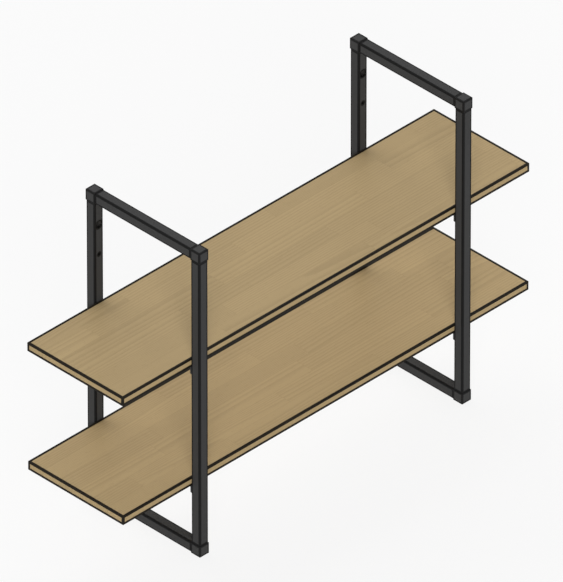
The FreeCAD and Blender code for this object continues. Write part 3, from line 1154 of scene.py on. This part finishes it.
@dataclass
class CrossScrew:
    """A pan head screw with a cross recess and a rolled thread, set at each of its seats."""

    shank: float
    length: float
    head: float
    head_height: float
    pitch: float
    point: float = 4 * MM
    rim: float = 1 * MM
    thread_depth: float = 0.45 * MM
    recess_span: float = 4.4 * MM
    recess_width: float = 1.1 * MM
    recess_depth: float = 1.4 * MM

    def __post_init__(self) -> None:
        """Makes what every screw of this size shares."""
        self.tree = self.screw_tree()
        name, look = f"zinc_plating_{self.length / MM:.0f}", {"roughness": (0.22, 0.42), "cloud_scale": 260.0}
        self.plating = Metal(name, srgb(198, 200, 204), srgb(180, 180, 176), **look).build()

    def screw_tree(self) -> NodeTree:
        """Makes the tree that turns a screw round +Z and sets it at each point, its head's seat there.

        Returns:
            The tree.
        """
        tree = Group("cross_screw", Kind.GEOMETRY, Seats="Geometry", **sizes(self), Plating="Material")
        given, calc = tree.given, tree.math
        sides, ridge_sides, shank_steps, head_steps, thread_steps = 24, 3, 40, 14, 14
        sunk = 0.3 * MM  # how far the shank reaches into the head
        blunt, thread_end = 0.03, 0.12  # the tip's and the thread's last radius, as shares of the core's
        flatness = 1.12  # how much higher than the crown its full dome would be
        z = tree.parts(tree.shape("InputPosition"))[2]

        def turned(start: Feed, stop: Feed, count: int, radius: Feed) -> NodeSocket:
            """Turns a round body on the Z axis.

            Args:
                start: The height of its foot.
                stop: The height of its top.
                count: How many rings it has.
                radius: The radius at each height.

            Returns:
                The body.
            """
            axis = tree.shape("CurvePrimitiveLine", Start=tree.joined(z=start), End=tree.joined(z=stop))
            axis = tree.shape("ResampleCurve", axis, Count=count)
            ring = tree.shape("CurvePrimitiveCircle", Resolution=sides, Radius=1.0)
            return tree.shape("CurveToMesh", axis, ring, Scale=radius, Fill_Caps=True)

        def thread(start: Feed, rise: Feed, share: float) -> NodeSocket:
            """Winds a ridge round the core.

            Args:
                start: The height that it starts at.
                rise: How far it climbs.
                share: Where it ends, as a share of the core's radius.

            Returns:
                The ridge.
            """
            radii = {"Start_Radius": core, "End_Radius": calc("MULTIPLY", core, share)}
            turns = calc("DIVIDE", rise, given.pitch)
            line = tree.shape("CurveSpiral", Resolution=thread_steps, Rotations=turns, Height=rise, **radii)
            line = tree.shape("Transform", line, Translation=tree.joined(z=start))
            ridge = tree.shape("CurvePrimitiveCircle", Resolution=ridge_sides, Radius=given.thread_depth)
            return tree.shape("CurveToMesh", line, ridge, Fill_Caps=True)

        core = calc("MULTIPLY_ADD", given.shank, 0.5, calc("MULTIPLY", given.thread_depth, -1.0))
        straight = calc("SUBTRACT", given.length, given.point)
        left = calc("DIVIDE", calc("SUBTRACT", given.length, z), given.point)
        taper = calc("MAXIMUM", calc("MINIMUM", left, 1.0), blunt)
        shank = turned(-sunk, given.length, shank_steps, calc("MULTIPLY", core, taper))
        threads = thread(0.0, straight, 1.0), thread(straight, given.point, thread_end)
        up = calc("SUBTRACT", calc("MULTIPLY", z, -1.0), given.rim)
        crown = calc("MULTIPLY", calc("SUBTRACT", given.head_height, given.rim), flatness)
        share = calc("MAXIMUM", calc("DIVIDE", up, crown), 0.0)
        dome = calc("SQRT", calc("SUBTRACT", 1.0, calc("POWER", share, 2.0)))
        top = calc("MULTIPLY", given.head_height, -1.0)
        head = turned(0.0, top, head_steps, calc("MULTIPLY", calc("MULTIPLY", given.head, 0.5), dome))
        depth, centre = calc("MULTIPLY", given.recess_depth, 2.0), tree.joined(z=top)
        cut = tree.add("GeometryNodeMeshBoolean", head, operation="DIFFERENCE", solver="EXACT")
        for x, y in ((given.recess_span, given.recess_width), (given.recess_width, given.recess_span)):
            tree.feed(cut.inputs[1], tree.cube(x, y, depth, centre))
        screw = tree.as_one(cut.outputs[0], shank, *threads)
        return tree.give(Screws=tree.set_at(given.seats, screw, given.plating))

    def build(self, node: str, seats: Sequence[Seat]) -> None:
        """Builds one set of screws.

        Args:
            node: The CAD node that the set stands for.
            seats: Where each head sits, and the way that its shank points.
        """
        mesh = run_tree(node, self.tree, seat_points(seats), **sizes(self), Plating=self.plating)
        smooth(mesh)
        add_piece(node, mesh, Matrix())


@dataclass
class Shelf:
    """One board of glued staves with its four brackets and the screws that hold them."""

    level: Level
    bracket: AngleBracket
    upright_screw: CrossScrew
    board_screw: CrossScrew
    edge_radius: float = 1.2 * MM

    def upright_screw_height(self) -> float:
        """The height of the screws that go into the uprights."""
        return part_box(f"{word(self.level)}_board")[0].z - self.bracket.hole_setback

    def board(self) -> None:
        """Builds the board at its CAD node's place, with eased edges."""
        node = f"{word(self.level)}_board"
        middle, size = middle_and_size(node)
        mesh = finished(node, rounded_block(node, size, self.edge_radius))
        mesh.materials.append(OiledWood(f"{node}_oiled", tuple(size / 2), self.level.value).build())
        add_piece(node, mesh, Matrix.Translation(middle))

    def build(self) -> None:
        """Builds every piece of the shelf."""
        self.board()
        name, height, up = word(self.level), self.upright_screw_height(), Vector((0, 0, 1))
        thickness, setback = self.bracket.thickness, self.bracket.hole_setback
        upright_seats, board_seats = [], []
        for side in Side:
            for row in Row:
                node = f"{name}_{word(side)}_{word(row)}_bracket"
                self.bracket.build(node, row)
                x, y, z = self.bracket.bend(node, row)
                outward = row.value
                upright_seats.append((Vector((x, y - outward * thickness, height)), Vector((0, outward, 0))))
                board_seats.append((Vector((x, y - outward * setback, z - thickness)), up))
        self.upright_screw.build(f"{name}_upright_screws", upright_seats)
        self.board_screw.build(f"{name}_board_screws", board_seats)


# ---- studio


@dataclass(frozen=True)
class Camera:
    """A far camera that looks down on the front left corner, with all three axes drawn alike."""

    distance: float = 54.0
    rightward: float = 0.00412
    upward: float = 0.32397
    lens: float = 1593.3
    clip: Pair = (1.0, 200.0)

    def build(self) -> None:
        """Builds the camera and makes it the scene's."""
        right = Vector((1, -1, 0)).normalized()
        up = Vector((1, 1, 2)).normalized()
        back = Vector((-1, -1, 1)).normalized()
        data = bpy.data.cameras.new("camera")
        data.lens = self.lens
        data.clip_start, data.clip_end = self.clip
        camera = put("camera", data)
        place = right * self.rightward + up * self.upward + back * self.distance
        camera.matrix_world = Matrix.Translation(place) @ Matrix((right, up, back)).transposed().to_4x4()
        bpy.context.scene.camera = camera


@dataclass(frozen=True)
class Lamp:
    """A wide, soft lamp that stands far off."""

    name: str
    strength: float
    width: float  # how wide it looks from the unit, in degrees
    stands: Triple  # the way from the unit to the lamp
    glossy: bool = False  # whether it shows in the gloss of coats and oil

    def build(self) -> None:
        """Builds the lamp."""
        data = bpy.data.lights.new(self.name, "SUN")
        data.energy, data.angle = self.strength, math.radians(self.width)
        lamp = put(self.name, data)
        lamp.visible_glossy = self.glossy
        lamp.rotation_mode = "QUATERNION"
        lamp.rotation_quaternion = Vector(self.stands).to_track_quat("Z", "Y")


@dataclass(frozen=True)
class Studio:
    """A pale floor in even light: a soft lamp at the front and a fan of low ones that fill in from behind."""

    floor_size: float = 40.0
    floor_white: Colour = srgb(222, 222, 222)
    floor_glow: float = 0.85
    white: Colour = srgb(255, 255, 255)
    ambient: float = 0.15
    lamps: tuple[Lamp, ...] = (
        Lamp("key", 2.65, 30.0, (-0.9, -1.0, 0.6), glossy=True),
        Lamp("back_fill", 1.5, 50.0, (-0.1, 1.0, 0.4)),
        Lamp("back_right_fill", 1.3, 50.0, (0.45, 1.0, 0.44)),
        Lamp("corner_fill", 1.1, 50.0, (1.0, 0.8, 0.52)),
        Lamp("side_fill", 0.7, 60.0, (1.0, 0.0, 0.4)),
    )

    def build(self) -> None:
        """Builds the floor, the world and the lamps."""
        self._floor()
        self._world()
        for lamp in self.lamps:
            lamp.build()
        bpy.context.scene.view_settings.view_transform = "Standard"

    def _floor(self) -> None:
        """A floor that keeps a shadow, glows to white for the camera and is clear from below."""
        mesh = bpy.data.meshes.new("floor")
        half = self.floor_size / 2
        corners = (-half, -half, 0), (half, -half, 0), (half, half, 0), (-half, half, 0)
        mesh.from_pydata(corners, [], [(0, 1, 2, 3)])
        material = bpy.data.materials.new("floor")
        tree = Tree.emptied(material)
        matt = tree.out("ShaderNodeBsdfDiffuse", Color=self.floor_white)
        glow = tree.out("ShaderNodeEmission", Color=self.white, Strength=1.0)
        clear = tree.out("ShaderNodeBsdfTransparent")
        share = tree.math("MULTIPLY", seen_ray(tree), self.floor_glow)
        lit = tree.out("ShaderNodeMixShader", share, matt, glow)
        under = tree.add("ShaderNodeNewGeometry").outputs["Backfacing"]
        whole = tree.out("ShaderNodeMixShader", under, lit, clear)
        tree.add("ShaderNodeOutputMaterial", Surface=whole)
        mesh.materials.append(material)
        put("floor", mesh)

    def _world(self) -> None:
        """A white world that lights the unit at the ambient level."""
        world = bpy.data.worlds.new("studio")
        bpy.context.scene.world = world
        tree = Tree.emptied(world)
        light = tree.out("ShaderNodeBackground", Color=self.white, Strength=self.ambient)
        plain = tree.out("ShaderNodeBackground", Color=self.white, Strength=1.0)
        whole = tree.out("ShaderNodeMixShader", seen_ray(tree), light, plain)
        tree.add("ShaderNodeOutputWorld", Surface=whole)


def seen_ray(tree: Tree) -> NodeSocket:
    """Tells the rays that show a surface itself, straight, in a reflection or through glass.

    Args:
        tree: The tree that asks.

    Returns:
        1 for those rays and 0 for all others.
    """
    path = tree.add("ShaderNodeLightPath").outputs
    mirrored = tree.math("MAXIMUM", path["Is Glossy Ray"], path["Is Transmission Ray"])
    return tree.math("MAXIMUM", path["Is Camera Ray"], mirrored)


# ---- the whole unit


def main() -> None:
    """Builds the dressed unit piece by piece round its CAD frame, then the studio."""
    logging.basicConfig(level=logging.INFO, format="%(name)s: %(message)s")
    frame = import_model()
    log.info("frame of %d nodes", len(frame["nodes"]))

    tube, connector, bracket = SquareTube(), CornerConnector(), AngleBracket()
    short_screw = CrossScrew(shank=5 * MM, length=12 * MM, head=9 * MM, head_height=2.8 * MM, pitch=1.6 * MM)
    long_screw = CrossScrew(shank=4 * MM, length=18 * MM, head=8 * MM, head_height=2.4 * MM, pitch=1.8 * MM)
    shelves = [Shelf(level, bracket, short_screw, long_screw) for level in Level]
    for side in Side:
        SideFrame(side, tube, connector).build([shelf.upright_screw_height() for shelf in shelves])
    for shelf in shelves:
        shelf.build()

    Camera().build()
    Studio().build()


if __name__ == "__main__":
    main()
